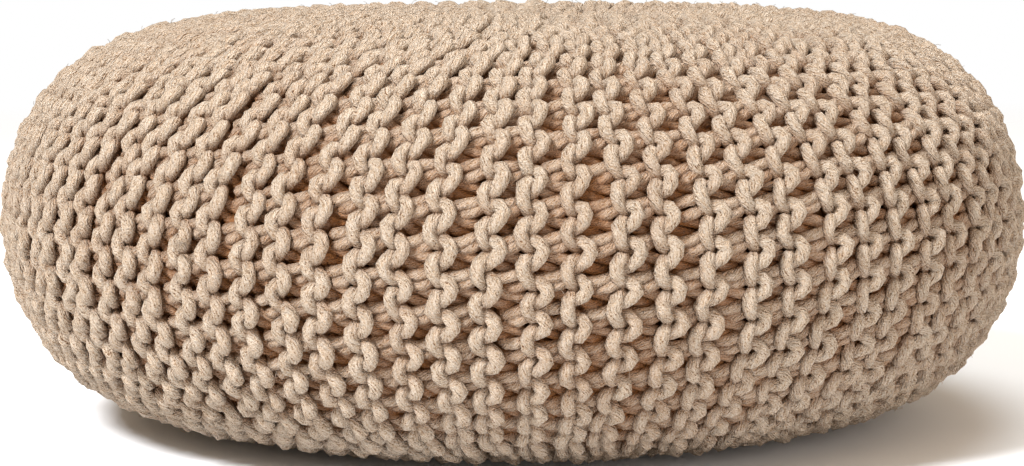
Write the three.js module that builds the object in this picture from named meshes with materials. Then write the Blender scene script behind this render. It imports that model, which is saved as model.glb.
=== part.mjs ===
// A round knitted floor pouf: one bead-filled cushion in a garter-stitch cover of thick cotton cord.
// The cover is knitted sideways, so its ribs run from the top gather to the base like meridians.
// It is knitted in wedges of short rows: each rib of a wedge starts one stitch later than the rib
// to its right, so that the ribs keep their width as they close in on the gather.
// The raised stitches themselves are too many for solids; the ribs are raised in the surface.
//
// Millimetres, +Z up, origin at the centre of the flat base, front of the pouf towards -Y.

import * as THREE from "three";
import { mergeVertices } from "three/addons/utils/BufferGeometryUtils.js";

// ---- Driving sizes --------------------------------------------------------------------------
const POUF_RADIUS = 350;
const POUF_HEIGHT = 282;
const WIDEST_HEIGHT = 139; // height of the widest ring above the base
const BASE_RADIUS = 196; // flat patch that the weight of the filling presses on the floor

// Roundness of the profile: each half is a superellipse, drawn in quickly at the shoulder.
const TOP_ROUND = { radial: 5.6, upright: 1.98 };
const BASE_ROUND = { radial: 6.0, upright: 1.76 };

// Knitting: wedges of ribs, and stitches from gather to gather along one full rib.
const WEDGES = 7;
const RIBS_PER_WEDGE = 12;
const STITCHES = 38;
const GATHER_RADIUS = 14; // drawn-in eye at the top, where the cover is pulled shut
const RIB_RELIEF = 6; // height of a rib's crest over the valley beside it
const GATHER_DEPTH = 3; // the closed eye of the gather below the crests round it

// The gather sits off centre towards the front, in a shallow dimple, and the ribs swirl to it.
const GATHER_SHIFT = { x: 22, y: -30 };
const DIMPLE_DEPTH = 2;
const DIMPLE_RADIUS = 70;
const SEAM_ANGLE = THREE.MathUtils.degToRad(-9); // first wedge seam, left of the front
const SWIRL_ANGLE = THREE.MathUtils.degToRad(11);
const SWIRL_FROM = 290; // radius where the swirl begins
const SWIRL_TO = 175; // radius where it is complete

// The cover is stretched unevenly: its ribs stand closer at the left and wider at the right, and
// over the shoulder they lean towards the front, where the gather lies.
const STRETCH = 0.17; // share by which the pitch of the ribs varies
const STRETCH_ANGLE = THREE.MathUtils.degToRad(78);
const LEAN_ANGLE = THREE.MathUtils.degToRad(6);
const LEAN_TOWARDS = THREE.MathUtils.degToRad(8);
const LEAN_FROM = 420; // arc length from the top where the lean begins
const LEAN_TO = 260; // and where it is complete

// Slow unevenness of the hand-filled shape, as waves round the pouf.
const UNEVEN = [
  { waves: 2, height: 1.6, phase: 2.33 },
  { waves: 3, height: 1.2, phase: 5.76 },
  { waves: 5, height: 0.9, phase: 0.59 },
];

const PROFILE_STEPS = 600;

// ---- Profile --------------------------------------------------------------------------------
// Height of the plain envelope over a radius, on the upper or the lower half.
function envelopePoint(turn) {
  // turn runs from 0 at the top centre, through 0.5 at the widest ring, to 1 at the base centre.
  const upper = turn < 0.5;
  const { radial, upright } = upper ? TOP_ROUND : BASE_ROUND;
  const angle = (upper ? 0.5 - turn : turn - 0.5) * Math.PI;
  const radius = POUF_RADIUS * Math.max(0, Math.cos(angle)) ** (2 / radial);
  const rise = Math.sin(angle) ** (2 / upright);
  const height = upper ? (POUF_HEIGHT - WIDEST_HEIGHT) * rise : -WIDEST_HEIGHT * rise;
  return { radius, height: WIDEST_HEIGHT + height };
}

// The same envelope as a table over its own arc length, measured from the top centre.
function measureProfile() {
  const points = [{ radius: 0, height: POUF_HEIGHT, length: 0 }];
  for (let step = 1; step <= PROFILE_STEPS; step++) {
    const point = envelopePoint(step / PROFILE_STEPS);
    const last = points[points.length - 1];
    const run = Math.hypot(point.radius - last.radius, point.height - last.height);
    points.push({ ...point, length: last.length + run });
  }
  return points;
}

const profile = measureProfile();
const profileLength = profile[profile.length - 1].length;

function profileAt(length) {
  let low = 0;
  let high = profile.length - 1;
  while (high - low > 1) {
    const middle = (low + high) >> 1;
    if (profile[middle].length <= length) low = middle;
    else high = middle;
  }
  const from = profile[low];
  const to = profile[high];
  const part = (length - from.length) / (to.length - from.length);
  const slope = Math.atan2(from.height - to.height, to.radius - from.radius);
  return {
    radius: from.radius + part * (to.radius - from.radius),
    height: from.height + part * (to.height - from.height),
    outX: Math.sin(slope),
    outZ: Math.cos(slope),
  };
}

// ---- Ribs -----------------------------------------------------------------------------------
// Arc length at a stitch count from the top gather; stitch 0.5 is the middle of the first one.
const stitchLength = (profileLength - 2 * GATHER_RADIUS) / STITCHES;
const lengthAtStitch = (stitch) => GATHER_RADIUS + stitch * stitchLength;

// Ribs that a wedge holds at a stitch: one more for each stitch away from either gather.
function ribsAtStitch(stitch) {
  const fromGather = Math.min(stitch, STITCHES - stitch);
  return Math.min(RIBS_PER_WEDGE, Math.floor(fromGather) + 1);
}

function smoothStep(value, from, to) {
  const t = THREE.MathUtils.clamp((value - from) / (to - from), 0, 1);
  return t * t * (3 - 2 * t);
}

// Where a rib really stands that would stand at an even angle round the pouf.
function turnedAngle(angle, length, radius) {
  const spread = Math.sin(angle - STRETCH_ANGLE) + Math.sin(STRETCH_ANGLE);
  const stretched = angle + STRETCH * spread;
  const lean = LEAN_ANGLE * smoothStep(length, LEAN_FROM, LEAN_TO);
  const swirl = SWIRL_ANGLE * smoothStep(radius, SWIRL_FROM, SWIRL_TO);
  return stretched + lean * Math.sin(LEAN_TOWARDS - stretched) + swirl;
}

function unevenAt(angle) {
  return UNEVEN.reduce((sum, u) => sum + u.height * Math.cos(u.waves * angle + u.phase), 0);
}

// A point on the cover: arc length from the top, angle round the pouf (0 at the front, growing
// to the right), and how far it lies below the rib crests.
function coverPoint(length, angle, depth) {
  const { radius, height, outX, outZ } = profileAt(length);
  const turned = turnedAngle(angle, length, radius);
  const lean = outX * Math.min(1, radius / POUF_RADIUS);
  const inset = depth - unevenAt(turned) * lean;
  const ring = radius - inset * outX;
  const drawn = height > WIDEST_HEIGHT ? (1 - radius / POUF_RADIUS) ** 1.5 : 0;
  const dimple = drawn > 0 ? DIMPLE_DEPTH * Math.exp(-((radius / DIMPLE_RADIUS) ** 2)) : 0;
  const z = height - inset * outZ - dimple;
  return new THREE.Vector3(
    ring * Math.sin(turned) + GATHER_SHIFT.x * drawn,
    -ring * Math.cos(turned) + GATHER_SHIFT.y * drawn,
    Math.max(0, z),
  );
}

// One ring of the cover across the middle of a stitch, wedge by wedge. Each wedge runs from the
// seam at its left to the seam at its right: valley, crest, valley, crest ... valley.
function ribbedRing(stitch) {
  const halves = 2 * ribsAtStitch(stitch);
  const length = lengthAtStitch(stitch);
  const wedgeAngle = (2 * Math.PI) / WEDGES;
  return Array.from({ length: WEDGES }, (_, wedge) =>
    Array.from({ length: halves + 1 }, (_, half) => {
      const angle = SEAM_ANGLE + (wedge + half / halves) * wedgeAngle;
      return coverPoint(length, angle, half % 2 === 0 ? RIB_RELIEF : 0);
    }),
  );
}

// The flat patch that rests on the floor: its rim has the points of the last ribbed ring.
function baseRim(lastRing) {
  return lastRing.map((wedge) => wedge.map((point) => {
    const scale = BASE_RADIUS / Math.hypot(point.x, point.y);
    return new THREE.Vector3(point.x * scale, point.y * scale, 0);
  }));
}

// ---- Solid ----------------------------------------------------------------------------------
class Skin {
  constructor() {
    this.positions = [];
  }

  triangle(a, b, c) {
    for (const corner of [a, b, c]) this.positions.push(corner.x, corner.y, corner.z);
  }

  // Closes the band between two rings. Ribs are matched from each wedge's right-hand seam, so a
  // rib that one ring lacks ends in a fan against the left-hand seam.
  band(aboveRing, belowRing) {
    aboveRing.forEach((above, wedge) => {
      const below = belowRing[wedge];
      const extraBelow = Math.max(0, below.length - above.length);
      const extraAbove = Math.max(0, above.length - below.length);
      for (let k = 0; k < extraBelow; k++) this.triangle(above[0], below[k], below[k + 1]);
      for (let k = 0; k < extraAbove; k++) this.triangle(above[k], below[0], above[k + 1]);
      const shared = Math.min(above.length, below.length) - 1;
      for (let k = 0; k < shared; k++) {
        const [a, b] = [above[k + extraAbove], above[k + extraAbove + 1]];
        const [c, d] = [below[k + extraBelow], below[k + extraBelow + 1]];
        this.triangle(a, c, b);
        this.triangle(b, c, d);
      }
    });
  }

  // Closes a ring with a fan from a middle point.
  cap(ring, middle, facesUp) {
    for (const wedge of ring) {
      for (let k = 0; k + 1 < wedge.length; k++) {
        const [a, b] = facesUp ? [wedge[k], wedge[k + 1]] : [wedge[k + 1], wedge[k]];
        this.triangle(middle, a, b);
      }
    }
  }

  geometry() {
    const loose = new THREE.BufferGeometry();
    loose.setAttribute("position", new THREE.Float32BufferAttribute(this.positions, 3));
    return mergeVertices(loose, 1e-3);
  }
}

function knittedPouf() {
  const rings = [];
  for (let stitch = 0.5; stitch < STITCHES; stitch++) {
    const { radius, height } = profileAt(lengthAtStitch(stitch));
    const onBase = height < WIDEST_HEIGHT && radius < BASE_RADIUS + stitchLength / 2;
    if (!onBase) rings.push(ribbedRing(stitch));
  }
  rings.push(baseRim(rings[rings.length - 1]));

  const skin = new Skin();
  skin.cap(rings[0], coverPoint(0, 0, GATHER_DEPTH), true);
  for (let k = 1; k < rings.length; k++) skin.band(rings[k - 1], rings[k]);
  skin.cap(rings[rings.length - 1], new THREE.Vector3(0, 0, 0), false);

  const material = new THREE.MeshStandardMaterial({ color: 0xb99e86, roughness: 0.9, metalness: 0 });
  const mesh = new THREE.Mesh(skin.geometry(), material);
  mesh.name = "knitted_pouf";
  return mesh;
}

const group = new THREE.Group();
group.add(knittedPouf());

export default group;
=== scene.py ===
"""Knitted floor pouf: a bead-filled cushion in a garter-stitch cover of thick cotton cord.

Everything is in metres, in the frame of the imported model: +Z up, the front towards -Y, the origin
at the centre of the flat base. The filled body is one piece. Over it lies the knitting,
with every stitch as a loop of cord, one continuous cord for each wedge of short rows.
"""

import math

import bpy
import numpy as np
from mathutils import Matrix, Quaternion, Vector


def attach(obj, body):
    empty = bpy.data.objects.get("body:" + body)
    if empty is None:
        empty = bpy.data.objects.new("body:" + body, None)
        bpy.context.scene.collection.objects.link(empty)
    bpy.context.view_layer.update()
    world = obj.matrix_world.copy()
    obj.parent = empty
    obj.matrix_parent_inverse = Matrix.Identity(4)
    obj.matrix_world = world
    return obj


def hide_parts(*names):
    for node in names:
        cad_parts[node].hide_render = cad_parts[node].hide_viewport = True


bl_info = {
    "name": "Knitted Floor Pouf",
    "version": (1, 0, 0),
    "blender": (4, 5, 0),
    "location": "View3D > Sidebar > Pouf",
    "description": "Builds a round pouf in a garter-stitch cover of thick cotton cord",
    "category": "Object",
}

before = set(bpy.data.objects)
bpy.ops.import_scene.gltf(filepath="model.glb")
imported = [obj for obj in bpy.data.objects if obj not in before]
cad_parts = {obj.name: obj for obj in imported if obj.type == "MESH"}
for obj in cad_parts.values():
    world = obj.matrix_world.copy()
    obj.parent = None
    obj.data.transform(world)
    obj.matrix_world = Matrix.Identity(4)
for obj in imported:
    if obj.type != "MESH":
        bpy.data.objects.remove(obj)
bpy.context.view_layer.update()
NODE = "knitted_pouf"

# ---- Form of the cushion, as the solid has it ----------------------------------------------
TOP_ROUND = (5.6, 1.98)  # radial and upright exponents of the upper half's superellipse
BASE_ROUND = (6.0, 1.76)
GATHER_RADIUS = 0.014
GATHER_SHIFT = (0.022, -0.030)
SHIFT_POWER = 1.5  # how fast the shift fades outwards from the gather
DIMPLE_DEPTH = 0.002
DIMPLE_RADIUS = 0.070
SEAM_ANGLE = math.radians(-9)
SWIRL_ANGLE = math.radians(11)
SWIRL_FROM = 0.290  # radius where the swirl begins
SWIRL_TO = 0.175
STRETCH = 0.17  # ribs stand closer at the left and wider at the right, by this share
STRETCH_ANGLE = math.radians(78)
LEAN_ANGLE = math.radians(6)  # over the shoulder the ribs lean towards the front
LEAN_TOWARDS = math.radians(8)
LEAN_FROM = 0.420  # along the profile from the top
LEAN_TO = 0.260
UNEVEN = ((2, 0.0016, 2.33), (3, 0.0012, 5.76), (5, 0.0009, 0.59))  # waves, height, phase
PROFILE_STEPS = 1200

# ---- Lie of the stitches on the form --------------------------------------------------------
SIDE_PULL = 0.055  # stitches are longer over the side than at the gathers, by this share
ROW_SINK = 0.008  # rows lie lower at the right than at the left
FIRST_RIBS = 0.7  # a wedge has no fewer ribs than this at the gathers
RIB_BLEND = 3  # how sharply a wedge comes to its full number of ribs
EASY_PITCH = 2.85  # cord diameters between ribs at which loops keep their own width
LEAST_PITCH = 1e-4
CLOSING = (0.72, 1.15)  # least and most that loops close up where the ribs stand otherwise

# ---- Stitches -------------------------------------------------------------------------------
# Control points of one loop, in ribs to the right, stitches upward, and cord diameters outward
# of the middle of the cloth, from the middle of the loop's own stitch.
KNIT_LOOP = (
    (-0.86, -0.68, -1.00),  # behind, between two stitches
    (-0.80, -0.62, -0.62),
    (-0.77, -0.69, 0.12),  # lower foot comes forward in the valley
    (-0.58, -0.64, 0.44),
    (-0.38, -0.57, 0.34),
    (-0.21, -0.49, -0.02),  # under the purl arc
    (-0.07, -0.39, 0.26),
    (0.08, -0.28, 0.76),
    (0.20, -0.12, 1.06),
    (0.26, 0.06, 1.14),  # head, right side of the rib
    (0.20, 0.22, 0.98),
    (0.04, 0.33, 0.42),
    (-0.13, 0.33, -0.06),  # under the purl arc above
    (-0.29, 0.21, 0.22),
    (-0.44, 0.11, 0.34),  # upper foot, over the lower one
    (-0.59, 0.06, 0.10),
    (-0.74, 0.05, -0.50),
)
PURL_LOOP = (
    (-0.25, 0.55, 0.96),  # arc between two stitches, left side of the rib
    (-0.22, 0.36, 0.90),
    (-0.12, 0.19, 0.60),
    (0.02, 0.10, 0.08),  # under the knit head
    (0.17, 0.06, -0.18),
    (0.34, -0.04, -0.12),
    (0.54, -0.13, -0.02),
    (0.76, -0.22, 0.06),
    (0.98, -0.31, -0.04),  # under the next rib
    (1.12, -0.40, -0.52),  # turns back
    (0.96, -0.50, -0.90),
    (0.66, -0.52, -0.50),
    (0.40, -0.43, -0.14),
    (0.24, -0.33, -0.18),
    (0.10, -0.20, -0.10),
    (-0.02, -0.13, 0.32),
    (-0.15, -0.15, 0.70),
    (-0.23, -0.28, 0.90),
)
# The turn at the end of a knit row, from its last upper foot into the purl row above it.
TOP_TURN = ((-0.58, 0.42, -0.75), (-0.44, 0.64, -0.05), (-0.30, 0.60, 0.76))
# The turn at the end of a purl row, into the knit row of the next rib, one stitch lower.
LOW_TURN = ((-0.18, -0.48, 0.85), (-0.02, -0.85, 0.75), (0.12, -1.20, 0.10))


class PoufSizes(bpy.types.PropertyGroup):
    """Sizes that a maker would change."""

    radius: bpy.props.FloatProperty(
        name="Radius", description="Widest ring of the cover", default=0.350, unit="LENGTH"
    )
    height: bpy.props.FloatProperty(
        name="Height", description="Base to top", default=0.282, unit="LENGTH"
    )
    widest_height: bpy.props.FloatProperty(
        name="Widest height", description="Height of the widest ring", default=0.139, unit="LENGTH"
    )
    cord: bpy.props.FloatProperty(
        name="Cord", description="Diameter of the cord", default=0.0078, unit="LENGTH"
    )
    wedges: bpy.props.IntProperty(name="Wedges", description="Wedges of short rows", default=7)
    ribs: bpy.props.IntProperty(name="Ribs", description="Ribs in a wedge", default=12)
    stitches: bpy.props.IntProperty(
        name="Stitches", description="Stitches on a full rib, gather to gather", default=38
    )
    cloth_depth: bpy.props.FloatProperty(
        name="Cloth depth",
        description="Middle of the cloth below the outermost cord, in cord diameters",
        default=1.62,
    )


class PoufColours(bpy.types.PropertyGroup):
    """Colours of the cord and of what surrounds the pouf."""

    # Pale fibres, partly a painted highlight where they stand raised.
    cord_light_and_highlight: bpy.props.FloatVectorProperty(
        name="Light fibre",
        description="Raised fibres",
        subtype="COLOR",
        default=(0.88, 0.745, 0.61),
    )
    cord_main: bpy.props.FloatVectorProperty(
        name="Cord", description="Main colour", subtype="COLOR", default=(0.70, 0.51, 0.345)
    )
    # Painted shade: the colour that cord takes on deep between the loops and on its side facing
    # into the cloth.
    cord_painted_shade: bpy.props.FloatVectorProperty(
        name="Deep cord",
        description="Down between loops",
        subtype="COLOR",
        default=(0.39, 0.152, 0.042),
    )
    # Painted shade in the creases between the yarns.
    painted_crease_shade: bpy.props.FloatVectorProperty(
        name="Crease",
        description="Shade between the yarns",
        subtype="COLOR",
        default=(0.20, 0.09, 0.035),
    )
    # Painted shade: the body is coloured dark so the holes between the loops look shadowed.
    inside: bpy.props.FloatVectorProperty(
        name="Inside",
        description="Body seen through holes",
        subtype="COLOR",
        default=(0.21, 0.09, 0.035),
    )
    floor: bpy.props.FloatVectorProperty(
        name="Floor", description="Pale floor", subtype="COLOR", default=(0.905, 0.925, 0.955)
    )


# ---- Form -----------------------------------------------------------------------------------
def smooth_step(value, start, end):
    t = np.clip((value - start) / (end - start), 0, 1)
    return t * t * (3 - 2 * t)


class Form:
    """The cushion's outer surface, and the places of ribs and stitches on it."""

    def __init__(self, sizes):
        self.sizes = sizes
        turn = np.linspace(0, 1, PROFILE_STEPS + 1)
        radius = sizes.radius * np.sin(np.pi * turn)
        share = np.clip(radius / sizes.radius, 0, 1)
        top_rise = (1 - share ** TOP_ROUND[0]) ** (1 / TOP_ROUND[1])
        base_drop = (1 - share ** BASE_ROUND[0]) ** (1 / BASE_ROUND[1])
        top = (sizes.height - sizes.widest_height) * top_rise
        height = sizes.widest_height + np.where(turn < 0.5, top, -sizes.widest_height * base_drop)
        run = np.hypot(np.diff(radius), np.diff(height))
        self.length = np.concatenate(([0], np.cumsum(run)))
        self.radius = radius
        self.height = height
        slope = np.arctan2(-np.gradient(height), np.gradient(radius))
        self.out_x = np.sin(slope)
        self.out_z = np.cos(slope)
        self.stitch = (self.length[-1] - 2 * GATHER_RADIUS) / sizes.stitches
        self.wedge_angle = 2 * math.pi / sizes.wedges

    def turned(self, length, angle, radius):
        """Where a rib really stands that would stand at an even angle."""
        turned = angle + STRETCH * (np.sin(angle - STRETCH_ANGLE) + math.sin(STRETCH_ANGLE))
        lean = LEAN_ANGLE * smooth_step(length, LEAN_FROM, LEAN_TO)
        turned = turned + lean * np.sin(LEAN_TOWARDS - turned)
        return turned + SWIRL_ANGLE * smooth_step(radius, SWIRL_FROM, SWIRL_TO)

    def place(self, length, angle, rise):
        """Points at an arc length from the top, an angle from the front, and a rise outward."""
        radius, height, out_x, out_z = (
            np.interp(length, self.length, row)
            for row in (self.radius, self.height, self.out_x, self.out_z)
        )
        turned = self.turned(length, angle, radius)
        uneven = sum(high * np.cos(waves * turned + phase) for waves, high, phase in UNEVEN)
        out = rise + uneven * out_x * radius / self.sizes.radius
        ring = radius + out * out_x
        inward = np.clip(1 - radius / self.sizes.radius, 0, 1)
        on_top = np.where(height > self.sizes.widest_height, inward**SHIFT_POWER, 0)
        dimple = DIMPLE_DEPTH * np.exp(-((radius / DIMPLE_RADIUS) ** 2)) * (on_top > 0)
        return np.stack(
            (
                ring * np.sin(turned) + GATHER_SHIFT[0] * on_top,
                -ring * np.cos(turned) + GATHER_SHIFT[1] * on_top,
                height + out * out_z - dimple,
            ),
            axis=-1,
        )

    def stitch_length(self, stitch, angle):
        """Arc length at a stitch count: rows stand wider over the side and sink to the right."""
        half = math.pi * stitch / self.sizes.stitches
        length = GATHER_RADIUS + stitch * self.stitch
        pull = SIDE_PULL * self.sizes.stitches * self.stitch / math.tau
        return length - pull * np.sin(2 * half) + ROW_SINK * np.sin(angle) * np.sin(half)

    def ribs_at(self, stitch):
        """Ribs that a wedge holds at a stitch, as a smooth number."""
        from_gather = np.minimum(stitch, self.sizes.stitches - stitch)
        count = np.clip(from_gather + 0.5, FIRST_RIBS, None)
        full = self.sizes.ribs
        return full - np.logaddexp(0, (full - count) * RIB_BLEND) / RIB_BLEND

    def rib_angle(self, wedge, rib, stitch):
        """Angle of a rib, counted from the wedge's right-hand seam."""
        right = SEAM_ANGLE + (wedge + 1) * self.wedge_angle
        return right - (rib + 0.5) * self.wedge_angle / self.ribs_at(stitch)

    def loop_points(self, wedge, rib, stitch, across, height):
        """Points of the knitting, with across in ribs and height in cord diameters."""
        pitch = self.wedge_angle / self.ribs_at(stitch)
        angle = self.rib_angle(wedge, rib, stitch)
        length = self.stitch_length(stitch, angle)
        width = np.interp(length, self.length, self.radius) * pitch
        width = width * (1 + STRETCH * np.cos(angle - STRETCH_ANGLE))
        width = np.maximum(width, LEAST_PITCH)
        close = np.clip(EASY_PITCH * self.sizes.cord / width, *CLOSING) - 1
        across = across + close * np.sin(2 * math.pi * across) / (2 * math.pi)
        angle = angle + across * pitch
        rise = (height - self.sizes.cloth_depth) * self.sizes.cord
        return self.place(np.clip(length, 0, self.length[-1]), angle, rise)


# ---- Shader helpers -------------------------------------------------------------------------
class Sock:
    """A node socket that Python's own arithmetic works on."""

    def __init__(self, tree, socket):
        self.tree = tree
        self.socket = socket

    def math(self, operation, *values):
        return self.tree.node("ShaderNodeMath", {"operation": operation}, *values)

    def __add__(self, other):
        return self.math("ADD", self, other)

    def __radd__(self, other):
        return self.math("ADD", other, self)

    def __sub__(self, other):
        return self.math("SUBTRACT", self, other)

    def __rsub__(self, other):
        return self.math("SUBTRACT", other, self)

    def __mul__(self, other):
        return self.math("MULTIPLY", self, other)

    def __rmul__(self, other):
        return self.math("MULTIPLY", other, self)

    def __truediv__(self, other):
        return self.math("DIVIDE", self, other)

    def __rtruediv__(self, other):
        return self.math("DIVIDE", other, self)

    def clamped(self):
        return self.math("MINIMUM", self.math("MAXIMUM", self, 0.0), 1.0)

    def sine(self):
        return self.math("SINE", self)

    def cosine(self):
        return self.math("COSINE", self)

    def output(self, name):
        """Another output of the same node."""
        return Sock(self.tree, self.socket.node.outputs[name])


class Shading:
    """A node tree and the one method that adds its nodes."""

    def __init__(self, tree):
        self.nodes = tree.nodes
        self.links = tree.links

    def put(self, socket, value):
        if isinstance(value, Sock):
            self.links.new(value.socket, socket)
        else:
            socket.default_value = value

    def node(self, kind, settings=None, *values, out=0, **named):
        made = self.nodes.new(kind)
        for key, value in (settings or {}).items():
            setattr(made, key, value)
        for socket, value in zip(made.inputs, values):
            self.put(socket, value)
        for key, value in named.items():
            self.put(made.inputs[key.replace("_", " ")], value)
        return Sock(self, made.outputs[out])

    def mix(self, factor, first, second):
        mixed = self.node("ShaderNodeMix", {"data_type": "RGBA"}).socket.node
        sockets = {socket.identifier: socket for socket in (*mixed.inputs, *mixed.outputs)}
        for key, value in (("Factor_Float", factor), ("A_Color", first), ("B_Color", second)):
            self.put(sockets[key], value)
        return Sock(self, sockets["Result_Color"])

    def noise(self, place, scale, detail=2.0, roughness=0.5):
        return self.node(
            "ShaderNodeTexNoise",
            None,
            Vector=place,
            Scale=scale,
            Detail=detail,
            Roughness=roughness,
        )


class Finish(Shading):
    """A new material, with its shader's sockets set by name."""

    def __init__(self, name):
        self.material = bpy.data.materials.new(name)
        self.material.use_nodes = True
        super().__init__(self.material.node_tree)

    def surface(self, **values):
        for key, value in values.items():
            self.put(self.nodes["Principled BSDF"].inputs[key.replace("_", " ")], value)


def rgba(colour):
    return (*colour, 1.0)


# ---- Finishes -------------------------------------------------------------------------------
TWIST = 28.0  # turns of the cord's plies in a metre
PLIES = 4.0
PLY_WANDER = 4.0  # how far lumps push the plies off their lay
YARNS = 12.0
YARN_WANDER = 16.0
FIBRE_WIDTH = 0.0013
FIBRE_LENGTH = 0.0042
FLECK_SCALE = 900.0
LUMP_SCALE = 260.0
PATCH_SCALE = 9.0
LIGHT = (4.0, 4.0, 0.5)  # lightening by fibres, flecks and yarns: pale fibre, partly painted highlight
CREASE_BELOW = (0.44, 0.42, 0.3)  # where fibres, flecks and yarns lie low enough to get painted crease shade
CREASE = (14.0, 11.0, 1.4)  # and how fast that painted shade darkens below it
CREASE_SHARE = 0.95
SHADE = (1.25, 0.4, 0.16)  # how much the painted shade of depth, random patches and a loop's own tone darken the colour
RELIEF = (1.2, 0.7, 0.25, 0.45, 1.2)  # of fibres, flecks, yarns, plies and lumps
RELIEF_HEIGHT = 0.0075
WEAVE_SCALE = 500.0
WEAVE_HEIGHT = 0.0006
INSIDE_SHADE = 0.55  # the darker threads of the body, as a share of its colour
CLOUD_SCALE = 3.0
FLOOR_SHADE = 0.985
FLOOR_FADE = (1.3, 3.2)  # the floor melts into the white backdrop between these distances


def add_up(layers, weights):
    """The sum of a pattern's layers, each times its weight."""
    terms = [layer * weight for layer, weight in zip(layers, weights)]
    return sum(terms[1:], terms[0])


def cord_finish(sizes, colours):
    """Matte cotton cord: twisted fine yarns, crinkled, with light flecks that are partly a painted
    highlight, and painted shade in its creases and deep in the cloth.
    """
    finish = Finish("twisted_cotton")
    uv = finish.node("ShaderNodeUVMap", {"uv_map": "cord"})
    along = finish.node("ShaderNodeSeparateXYZ", None, uv, out="X")  # metres along the cord
    around = along.output("Y")  # turns round the cord
    # Painted shade that the cord meshes carry, from how deep the cord lies in the cloth.
    painted_depth_shade = finish.node("ShaderNodeAttribute", {"attribute_name": "painted_depth_shade"}, out="Fac")
    tone = finish.node("ShaderNodeAttribute", {"attribute_name": "tone"}, out="Fac")

    turn = (around + along * TWIST) * (2 * math.pi)
    reach = sizes.cord / 2 / FIBRE_WIDTH
    fibre_place = finish.node(
        "ShaderNodeCombineXYZ",
        None,
        turn.cosine() * reach,
        turn.sine() * reach,
        along / FIBRE_LENGTH,
    )
    place = finish.node("ShaderNodeTexCoord", out="Object")
    fibre = finish.noise(fibre_place, 1.0, detail=4.0, roughness=0.7)
    fleck = finish.noise(place, FLECK_SCALE, roughness=0.7)
    lump = finish.noise(place, LUMP_SCALE, roughness=0.6)
    patch = finish.noise(place, PATCH_SCALE)
    yarn = (turn * YARNS + (lump - 0.5) * YARN_WANDER).sine() * 0.5 + 0.5
    ply = (turn * PLIES + (lump - 0.5) * PLY_WANDER).sine() * 0.5 + 0.5

    # Lighter where fibres, flecks and yarns stand raised: partly pale fibre, partly a painted
    # highlight.
    light = (add_up((fibre - 0.5, fleck - 0.5, yarn - 0.5), LIGHT) + 0.5).clamped()
    plain = finish.mix(light, rgba(colours.cord_main), rgba(colours.cord_light_and_highlight))
    # Painted shade in the creases: darker where fibres, flecks and yarns lie low.
    below = [level - layer for level, layer in zip(CREASE_BELOW, (fibre, fleck, yarn))]
    painted_crease_shade = add_up(below, CREASE).clamped()
    with_crease_shade = finish.mix(painted_crease_shade * CREASE_SHARE, plain, rgba(colours.painted_crease_shade))
    # Painted shade deep in the cloth, with random patches and each loop's own tone.
    shade = add_up((painted_depth_shade, patch - 0.5, tone - 0.5), SHADE).clamped()
    relief = add_up((fibre, fleck, yarn, ply, lump), RELIEF)
    finish.surface(
        Base_Color=finish.mix(shade, with_crease_shade, rgba(colours.cord_painted_shade)),
        Normal=finish.node(
            "ShaderNodeBump", None, Strength=1.0, Distance=RELIEF_HEIGHT, Height=relief
        ),
        Roughness=0.92,
        Specular_IOR_Level=0.1,
        Sheen_Weight=0.06,
        Sheen_Roughness=0.5,
        Sheen_Tint=(1.0, 0.96, 0.91, 1.0),
    )
    return finish.material


def body_finish(colours):
    """The body between the loops: a plain close cloth, dark as painted shade for the holes."""
    finish = Finish("inside_cloth")
    weave = finish.noise(finish.node("ShaderNodeTexCoord", out="Object"), WEAVE_SCALE)
    # Painted shade for the holes, with darker threads of the weave.
    darker = tuple(part * INSIDE_SHADE for part in colours.inside)
    finish.surface(
        Base_Color=finish.mix(weave, rgba(darker), rgba(colours.inside)),
        Normal=finish.node(
            "ShaderNodeBump", None, Strength=0.5, Distance=WEAVE_HEIGHT, Height=weave
        ),
        Roughness=1.0,
        Specular_IOR_Level=0.1,
    )
    return finish.material


def floor_finish(colours):
    """A pale floor, slightly clouded, that fades out far from the pouf."""
    finish = Finish("pale_floor")
    place = finish.node("ShaderNodeTexCoord", out="Object")
    cloud = finish.noise(place, CLOUD_SCALE)
    softer = tuple(part * FLOOR_SHADE for part in colours.floor)
    spread = finish.node("ShaderNodeVectorMath", {"operation": "LENGTH"}, place, out="Value")
    near, far = FLOOR_FADE
    finish.surface(
        Base_Color=finish.mix(cloud, rgba(colours.floor), rgba(softer)),
        Alpha=((far - spread) / (far - near)).clamped(),
        Roughness=0.9,
        Specular_IOR_Level=0.1,
    )
    return finish.material


def cord_material(context):
    """The cord's finish, made once and shared by every piece of cord."""
    known = bpy.data.materials.get("twisted_cotton")
    return known or cord_finish(context.scene.pouf_sizes, context.scene.pouf_colours)


# ---- Cord meshes ----------------------------------------------------------------------------
SIDES = 7
LOOP_RINGS = 14  # rings along a loop, on average
SPLINE_STEPS = 6  # points of the smooth path for each control point
DEEP_FROM = 1.42  # height in the cloth where its shade begins to darken
DEEP_TO = -0.45  # and where it is deepest
FIRST_SIDE = (0.3, 0.2, 0.9)  # any direction that no cord starts in


def spline(points, steps=SPLINE_STEPS):
    """A Catmull-Rom curve through rows of control points."""
    before = np.concatenate((points[:1], points[:-2]))
    here = points[:-1]
    after = points[1:]
    beyond = np.concatenate((points[2:], points[-1:]))
    rows = []
    for step in range(steps):
        t = step / steps
        rows.append(
            0.5
            * (
                2 * here
                + (after - before) * t
                + (2 * before - 5 * here + 4 * after - beyond) * t**2
                + (3 * here - before - 3 * after + beyond) * t**3
            )
        )
    return np.stack(rows, axis=1).reshape(-1, points.shape[1])


def unit(vectors):
    return vectors / np.linalg.norm(vectors, axis=-1, keepdims=True)


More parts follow.
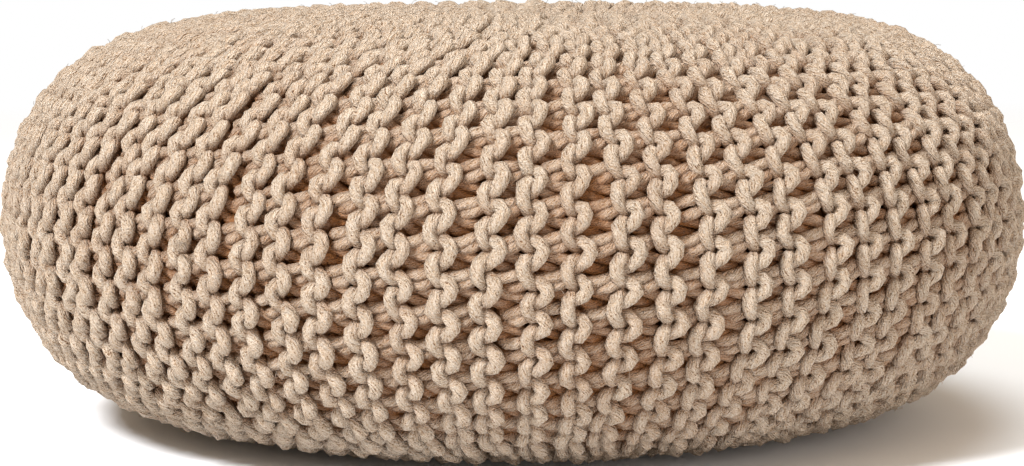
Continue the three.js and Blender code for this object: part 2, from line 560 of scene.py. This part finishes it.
def run_along(path):
    """Length along a path at each of its points."""
    return np.concatenate(([0], np.cumsum(np.linalg.norm(np.diff(path, axis=0), axis=1))))


def sides_along(path):
    """Two cross directions at each point, carried along the path without twist."""
    tangent = unit(np.gradient(path, axis=0))
    side = np.empty_like(path)
    side[0] = unit(np.cross(tangent[0], np.array(FIRST_SIDE)))
    for k in range(1, len(path)):
        ahead = tangent[k]
        flat = side[k - 1]
        side[k] = unit(flat - ahead * np.sum(flat * ahead, axis=-1, keepdims=True))
    return side, np.cross(tangent, side)


def resample(path, weight, count, extra):
    """Spreads count points over a path by its weighted length; extra rows follow the path."""
    run = np.linalg.norm(np.diff(path, axis=0), axis=1)
    share = 0.5 * (weight[1:] + weight[:-1])
    key = np.concatenate(([0], np.cumsum(run * share)))
    at = np.linspace(0, key[-1], count)
    rows = [np.interp(at, key, path[:, k]) for k in range(3)]
    return np.stack(rows, axis=-1), [np.interp(at, key, row) for row in extra]


def tube_mesh(name, path, radii, outward, level, tone, sides=SIDES):
    """A closed-ended tube along a path, with its cord UVs, its tone and the painted shade for how
    deep each point lies.

    outward points out of the cloth, and level is the height of the cord's middle in the cloth, in
    cord diameters, as in the tables of loops. Both set the painted shade: deeper cord, and the side
    of a cord that faces into the cloth, are darker.
    """
    first, second = sides_along(path)
    turns = np.arange(sides) * 2 * math.pi / sides
    ring = np.cos(turns)[:, None] * first[:, None, :] + np.sin(turns)[:, None] * second[:, None, :]
    verts = (path[:, None, :] + ring * radii[:, None, None]).reshape(-1, 3)
    verts[:, 2] = np.maximum(verts[:, 2], 0.0)  # flattened where it rests on the floor

    count = len(path)
    k = np.arange(count - 1)[:, None]
    j = np.arange(sides)[None, :]
    rings = np.stack((k, k, k + 1, k + 1), axis=-1)
    edges = np.stack((j, j + 1, j + 1, j), axis=-1)
    quads = (rings * sides + edges % sides).reshape(-1, 4)
    caps = [list(range(sides))[::-1], list(range((count - 1) * sides, count * sides))]
    mesh = bpy.data.meshes.new(name)
    mesh.from_pydata(verts.tolist(), [], quads.tolist() + caps)

    corners = (count - 1, sides, 4)
    along = np.broadcast_to(run_along(path)[rings], corners)
    around = np.broadcast_to(edges / sides, corners)
    uv = np.stack((along, around), axis=-1).reshape(-1, 2)
    uv = np.concatenate((uv, np.zeros((2 * sides, 2))))
    layer = mesh.uv_layers.new(name="cord")
    layer.data.foreach_set("uv", uv.astype(np.float32).ravel())

    # Painted shade: cord darkens the deeper it lies in the cloth, and on its side that faces into
    # it.
    lift = 0.5 * np.sum(ring * outward[:, None, :], axis=-1)
    painted_depth_shade = smooth_step(level[:, None] + lift, DEEP_FROM, DEEP_TO)
    for key, values in (("painted_depth_shade", painted_depth_shade), ("tone", np.repeat(tone, sides))):
        attribute = mesh.attributes.new(key, "FLOAT", "POINT")
        attribute.data.foreach_set("value", values.astype(np.float32).ravel())
    mesh.polygons.foreach_set("use_smooth", np.ones(len(mesh.polygons), bool))
    mesh.update()
    piece = bpy.data.objects.new(name, mesh)
    bpy.context.scene.collection.objects.link(piece)
    return piece


def dress(piece, material):
    piece.data.materials.append(material)
    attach(piece, "root")


# ---- Knitting -------------------------------------------------------------------------------
WEDGE_SEED = 41
# Differences from loop to loop, in ribs, stitches and cord diameters: of each control point, and
# of the whole loop, which also differs in size about its own middle.
POINT_JITTER = (0.012, 0.014, 0.05)
LOOP_DRIFT = (0.018, 0.030, 0.06)
LOOP_GROWTH = 0.05
LOOP_MIDDLE = (0.0, -0.05, 0.0)
# Ribs sway sideways: by a share of a rib, with phases for each stitch, rib and wedge.
SWAYS = ((0.07, 0.55, 2.4, 1.3), (0.04, 1.35, 4.1, 2.9))
# The cord's thickness: slow waves and small differences along it, and a share more from one
# height in the cloth to another, down in the valleys and up at the heads.
WAVE_SWELL = 0.05
WAVE_PHASE = 0.37
FINE_SWELL = 0.025
VALLEY_SWELL = (0.12, 0.1, -0.9)
HEAD_SWELL = (0.15, 0.5, 1.1)
# Rings stand closer in bends, and further apart behind the cloth and near the floor.
MOST_BEND = 2.0
BEHIND = (-0.5, 0.55)  # height in the cloth, and share of the rings that it keeps
NEAR_FLOOR = (0.020, 0.6)


class WedgeCord:
    """The rows of one wedge as one list of control points: knit up a rib, purl down it."""

    def __init__(self, form, random):
        self.form = form
        self.random = random
        self.rows = []  # rib, stitch, across, height, tone

    def add(self, rib, middle, table, tone):
        for across, up, height in table:
            self.rows.append((rib, middle - up, across, height, tone))

    def loop(self, rib, index, table):
        jitter = self.random.normal(0, 1, (len(table), 3)) * POINT_JITTER
        drift = self.random.normal(0, 1, 3) * LOOP_DRIFT
        size = 1 + self.random.normal(0, LOOP_GROWTH)
        middle = np.array(LOOP_MIDDLE)
        shape = middle + (np.array(table) - middle) * (size, size, 1) + jitter + drift
        self.add(rib, index + 0.5, shape, self.random.uniform(0, 1))

    def knit(self):
        full = self.form.sizes.stitches
        for rib in range(self.form.sizes.ribs - 1, -1, -1):
            first, last = rib, full - 1 - rib
            for index in range(last, first - 1, -1):
                self.loop(rib, index, KNIT_LOOP)
            self.add(rib, first + 0.5, TOP_TURN, 0.5)
            for index in range(first, last + 1):
                table = PURL_LOOP[1:] if index == first else PURL_LOOP
                self.loop(rib, index, table)
            self.add(rib, last + 0.5, LOW_TURN, 0.5)
        return np.array(self.rows)


def ring_weight(form, path, level):
    """How closely rings are set along a path: more in bends, fewer where little is seen."""
    ahead = unit(np.gradient(path, axis=0))
    bend = np.linalg.norm(np.gradient(ahead, axis=0), axis=1)
    bend = bend / np.linalg.norm(np.gradient(path, axis=0), axis=1)
    weight = 1 + np.minimum(bend * form.sizes.cord, MOST_BEND)
    for height, (limit, share) in ((level, BEHIND), (path[:, 2], NEAR_FLOOR)):
        weight = weight * np.where(height < limit, share, 1.0)
    return weight


def knit_wedge(form, wedge, random):
    """Path, radii and attributes of one wedge's cord."""
    rows = WedgeCord(form, random).knit()
    rib, stitch, across, height, tone = rows.T
    across = across + sum(
        share * np.sin(stitch * by_stitch + rib * by_rib + wedge * by_wedge)
        for share, by_stitch, by_rib, by_wedge in SWAYS
    )
    path = spline(form.loop_points(wedge, rib, stitch, across, height))
    above = spline(form.loop_points(wedge, rib, stitch, across, height + 1))
    level, tone = spline(np.stack((height, tone), axis=-1)).T
    count = int(len(rows) / len(KNIT_LOOP) * LOOP_RINGS)
    extra = (level, tone, *(above - path).T)
    weight = ring_weight(form, path, level)
    path, (level, tone, *outward) = resample(path, weight, count, extra)
    wave = np.sin(np.arange(count) * WAVE_PHASE + wedge)
    radii = form.sizes.cord / 2 * (1 + WAVE_SWELL * wave)
    radii *= 1 + random.normal(0, FINE_SWELL, count)
    swells = (share * smooth_step(level, *span) for share, *span in (VALLEY_SWELL, HEAD_SWELL))
    radii *= sum(swells, 1)
    return path, radii, unit(np.stack(outward, axis=-1)), level, tone


class POUF_OT_knitting(bpy.types.Operator):
    """Knit the cover: one continuous cord for each wedge of short rows"""

    bl_idname = "pouf.knitting"
    bl_label = "Knitting"

    def execute(self, context):
        form = Form(context.scene.pouf_sizes)
        material = cord_material(context)
        for wedge in range(form.sizes.wedges):
            random = np.random.RandomState(WEDGE_SEED + wedge)
            piece = tube_mesh(f"knit_wedge_{wedge + 1}", *knit_wedge(form, wedge, random))
            dress(piece, material)
        return {"FINISHED"}


# ---- Gathers --------------------------------------------------------------------------------
RING_LENGTH = 0.0095  # of the closing ring from the middle, along the cover
RING_STEPS = 96
RING_LAP = 3  # points by which the ring runs over its own start
RING_WAVE = 0.5  # cord diameters that it rises and falls, once for each wedge
RING_SINK = 1.2  # cord diameters below the outermost cord
# Height in the cloth that sets the rings' painted shade.
RING_LEVEL = 0.5


class POUF_OT_gather(bpy.types.Operator):
    """Draw the cover shut at the top and the base with a ring of cord"""

    bl_idname = "pouf.gather"
    bl_label = "Gathers"

    def execute(self, context):
        form = Form(context.scene.pouf_sizes)
        material = cord_material(context)
        turn = np.linspace(0, 2 * math.pi, RING_STEPS + 1)[:-1]
        ends = (("top_gather", RING_LENGTH), ("base_gather", form.length[-1] - RING_LENGTH))
        for name, length in ends:
            wave = RING_WAVE * np.cos(form.sizes.wedges * turn)
            rise = (wave - RING_SINK) * form.sizes.cord
            path = form.place(np.full_like(turn, length), turn, rise)
            path = np.concatenate((path, path[:RING_LAP]))
            radii = np.full(len(path), form.sizes.cord * 0.5)
            outward = np.tile((0.0, 0.0, 1.0), (len(path), 1))
            level = np.full(len(path), RING_LEVEL)
            dress(tube_mesh(name, path, radii, outward, level, level), material)
        return {"FINISHED"}


# ---- Loose ends -----------------------------------------------------------------------------
# Yarn ends that have worked loose: direction from the front in degrees, arc length from the top,
# and size of the curl.
YARN_ENDS = (
    (-35.2, 0.418, 0.0026),
    (-39.0, 0.552, 0.0022),
    (64.0, 0.370, 0.0024),
    (128.0, 0.455, 0.0026),
    (-151.0, 0.330, 0.0022),
)
YARN_RADIUS = 0.00062
YARN_SIDES = 5
YARN_RINGS = 15
CURL = 2.5  # half turns that a yarn end curls through
CURL_RISE = (-0.006, -0.0005, 0.0015)  # over the cover at its root, near it and at its tip
CURL_RISE_AT = (0, 0.25, 1)
SIDE_RADIUS = 0.35  # over which a curl's width becomes an angle

FIBRES = 320
FIBRE_SEED = 7
FIBRE_RADIUS = 0.00016
FIBRE_SIDES = 3
FIBRE_RINGS = 6
FIBRE_ROOTS = (0.06, 0.60)  # arc lengths from the top between which fibres stand
FIBRE_REACH = (0.003, 0.008)
FIBRE_BOW = 0.003
FIBRE_RISE = (-0.004, 0.0008, 0.0016)
FIBRE_RISE_AT = (0, 0.5, 1)
LEAST_RING = 0.05  # radius below which a fibre's slant grows no more

LOOSE_MIDDLE = (0, 0, 0.14)  # loose ends point away from here
LOOSE_LEVEL = 1.2  # they are shaded like cord at this height in the cloth
LOOSE_TONE = 0.6


class POUF_OT_loose_ends(bpy.types.Operator):
    """Add the few curled yarn ends and the fine fibres that stand off the cord"""

    bl_idname = "pouf.loose_ends"
    bl_label = "Loose ends"

    def execute(self, context):
        form = Form(context.scene.pouf_sizes)
        random = np.random.RandomState(FIBRE_SEED)
        pieces = [self.curl(form, *end) for end in YARN_ENDS]
        pieces += [self.fibre(form, random) for _ in range(FIBRES)]
        bpy.ops.object.select_all(action="DESELECT")
        for piece in pieces:
            piece.select_set(True)
        context.view_layer.objects.active = pieces[0]
        bpy.ops.object.join()
        pieces[0].name = "loose_ends"
        pieces[0].data.name = "loose_ends"
        dress(pieces[0], cord_material(context))
        return {"FINISHED"}

    def on_cover(self, form, azimuth, length, rise):
        """Points on the cover at a true direction from the front, in radians."""
        even = np.linspace(-4, 4, 1601)  # a little more than once round
        radius = np.interp(length, form.length, form.radius)
        shown = form.turned(np.full_like(even, np.mean(length)), even, np.mean(radius))
        return form.place(length, np.interp(azimuth, shown, even), rise)

    def tube(self, path, radius, sides):
        outward = unit(path - np.array(LOOSE_MIDDLE))
        radii, level, tone = (
            np.full(len(path), value) for value in (radius, LOOSE_LEVEL, LOOSE_TONE)
        )
        return tube_mesh("end", path, radii, outward, level, tone, sides)

    def curl(self, form, azimuth, length, size):
        turn = np.linspace(0, 1, YARN_RINGS)
        around = turn * CURL * math.pi
        side = size * np.sin(around) / SIDE_RADIUS
        rise = np.interp(turn, CURL_RISE_AT, CURL_RISE)
        middle = math.radians(azimuth)
        path = self.on_cover(form, middle + side, length + size * np.cos(around), rise)
        return self.tube(path, YARN_RADIUS, YARN_SIDES)

    def fibre(self, form, random):
        start = random.uniform(-math.pi, math.pi)
        length = random.uniform(*FIBRE_ROOTS)
        reach = random.uniform(*FIBRE_REACH)
        heading = random.uniform(0, math.tau)
        bow = random.uniform(-1, 1, 2) * FIBRE_BOW
        t = np.linspace(0, 1, FIBRE_RINGS)
        ring = max(np.interp(length, form.length, form.radius), LEAST_RING)
        side = (np.cos(heading) * reach * t + bow[0] * t * (1 - t)) / ring
        down = np.sin(heading) * reach * t + bow[1] * t * (1 - t)
        rise = np.interp(t, FIBRE_RISE_AT, FIBRE_RISE)
        path = self.on_cover(form, start + side, length + down, rise)
        return self.tube(path, FIBRE_RADIUS, FIBRE_SIDES)


# ---- Body -----------------------------------------------------------------------------------
BODY_SEGMENTS = 128
BODY_RINGS = 56
BODY_SINK = 0.62  # cord diameters from the middle of the cloth down to the body


class POUF_OT_body(bpy.types.Operator):
    """Make the filled body that the knitting is stretched over"""

    bl_idname = "pouf.body"
    bl_label = "Filled body"

    def execute(self, context):
        sizes = context.scene.pouf_sizes
        form = Form(sizes)
        bpy.ops.object.select_all(action="DESELECT")
        bpy.ops.mesh.primitive_uv_sphere_add(
            segments=BODY_SEGMENTS, ring_count=BODY_RINGS, radius=1.0
        )
        piece = context.active_object
        piece.name = "filled_body"
        piece.data.name = "filled_body"
        co = np.empty(len(piece.data.vertices) * 3)
        piece.data.vertices.foreach_get("co", co)
        co = co.reshape(-1, 3)
        share = np.arccos(np.clip(co[:, 2], -1, 1)) / math.pi
        angle = np.arctan2(co[:, 0], -co[:, 1])
        rise = np.full(len(co), -(sizes.cloth_depth + BODY_SINK) * sizes.cord)
        placed = form.place(share * form.length[-1], angle, rise)
        piece.data.vertices.foreach_set("co", placed.ravel())
        piece.data.update()
        bpy.ops.object.shade_smooth()
        piece.data.materials.append(body_finish(context.scene.pouf_colours))
        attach(piece, "root")
        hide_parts(NODE)
        return {"FINISHED"}


# ---- Stage ----------------------------------------------------------------------------------
IMAGE_SIZE = (1024, 466)
VIEW_DISTANCE = 2.10
VIEW_ELEVATION = math.radians(6.0)
FOCAL_PIXELS = 3027.0
SENSOR = 36.0
CLIP = (0.05, 100.0)
CENTRE_PIXEL = (514.6, 210.7)  # where the middle of the pouf lies in the frame
CAMERA_ROLL = 0.0047
FLOOR_SIZE = 8.0
STUDIO_FILL = 0.66  # light from all round; the backdrop itself looks white
FILL_COLOUR = (1.0, 0.80, 0.59, 1.0)
WHITE = (1.0, 1.0, 1.0, 1.0)
LIGHTS = (  # name, place, diameter, watts, colour
    ("key", (-1.9, -2.2, 2.8), 1.0, 250.0, (0.975, 0.985, 1.0)),
    ("top", (0.2, 0.3, 3.2), 2.0, 66.0, (0.87, 0.95, 1.0)),
    ("front", (1.3, -2.8, 0.6), 2.0, 43.0, (1.0, 0.95, 0.92)),
)
LIT_POINT = (0, 0, 0.15)


def turn_to(thing, direction, roll=0.0):
    """Turns a light or a camera to look along a direction, rolled about it."""
    thing.rotation_mode = "QUATERNION"
    look = direction.to_track_quat("-Z", "Y")
    thing.rotation_quaternion = look @ Quaternion((0, 0, 1), -roll)


class POUF_OT_stage(bpy.types.Operator):
    """Set the floor, the soft lights and the camera"""

    bl_idname = "pouf.stage"
    bl_label = "Stage"

    def execute(self, context):
        bpy.ops.object.select_all(action="DESELECT")
        bpy.ops.mesh.primitive_plane_add(size=FLOOR_SIZE, location=(0, 0, 0))
        floor = context.active_object
        floor.name = "floor"
        floor.data.materials.append(floor_finish(context.scene.pouf_colours))
        self.studio(context)
        self.lights(context)
        self.camera(context)
        return {"FINISHED"}

    def studio(self, context):
        """Warm light from all round, in front of a backdrop that is white to the camera."""
        world = bpy.data.worlds.new("studio")
        world.use_nodes = True
        shading = Shading(world.node_tree)
        sky = shading.nodes["Background"]
        seen = shading.node("ShaderNodeLightPath", out="Is Camera Ray")
        shading.put(sky.inputs["Color"], shading.mix(seen, FILL_COLOUR, WHITE))
        shading.put(sky.inputs["Strength"], seen.math("MAXIMUM", seen, STUDIO_FILL))
        context.scene.world = world
        context.scene.view_settings.view_transform = "Standard"

    def lights(self, context):
        for name, place, size, power, colour in LIGHTS:
            data = bpy.data.lights.new(name, "AREA")
            data.color = colour
            data.shape = "DISK"
            data.size = size
            data.energy = power
            lamp = bpy.data.objects.new(name, data)
            lamp.location = place
            turn_to(lamp, Vector(LIT_POINT) - Vector(place))
            context.scene.collection.objects.link(lamp)

    def camera(self, context):
        data = bpy.data.cameras.new("camera")
        data.sensor_width = SENSOR
        data.lens = FOCAL_PIXELS * SENSOR / IMAGE_SIZE[0]
        data.clip_start, data.clip_end = CLIP
        camera = bpy.data.objects.new("camera", data)
        context.scene.collection.objects.link(camera)
        middle = Vector((0, 0, context.scene.pouf_sizes.height / 2))
        away = Vector((0, -math.cos(VIEW_ELEVATION), math.sin(VIEW_ELEVATION)))
        camera.location = middle + away * VIEW_DISTANCE
        pixel = VIEW_DISTANCE / FOCAL_PIXELS
        across = (CENTRE_PIXEL[0] - IMAGE_SIZE[0] / 2) * pixel
        down = (IMAGE_SIZE[1] / 2 - CENTRE_PIXEL[1]) * pixel
        target = middle - Vector((across, 0, down))
        turn_to(camera, target - camera.location, CAMERA_ROLL)
        context.scene.camera = camera


# ---- Panel and script -----------------------------------------------------------------------
class POUF_PT_panel(bpy.types.Panel):
    """Buttons for the pouf's pieces, in the order in which they are made"""

    bl_idname = "POUF_PT_panel"
    bl_label = "Knitted pouf"
    bl_space_type = "VIEW_3D"
    bl_region_type = "UI"
    bl_category = "Pouf"

    def draw(self, context):
        for group in (context.scene.pouf_sizes, context.scene.pouf_colours):
            for key in group.__annotations__:
                self.layout.prop(group, key)
        for step in STEPS:
            self.layout.operator(step.bl_idname)


STEPS = (POUF_OT_stage, POUF_OT_body, POUF_OT_knitting, POUF_OT_gather, POUF_OT_loose_ends)
CLASSES = (PoufSizes, PoufColours, *STEPS, POUF_PT_panel)


def register():
    for made in CLASSES:
        bpy.utils.register_class(made)
    bpy.types.Scene.pouf_sizes = bpy.props.PointerProperty(type=PoufSizes)
    bpy.types.Scene.pouf_colours = bpy.props.PointerProperty(type=PoufColours)


def unregister():
    del bpy.types.Scene.pouf_colours
    del bpy.types.Scene.pouf_sizes
    for made in reversed(CLASSES):
        bpy.utils.unregister_class(made)


def main():
    register()
    bpy.ops.pouf.stage()
    bpy.ops.pouf.body()
    bpy.ops.pouf.knitting()
    bpy.ops.pouf.gather()
    bpy.ops.pouf.loose_ends()


if __name__ == "__main__":
    main()
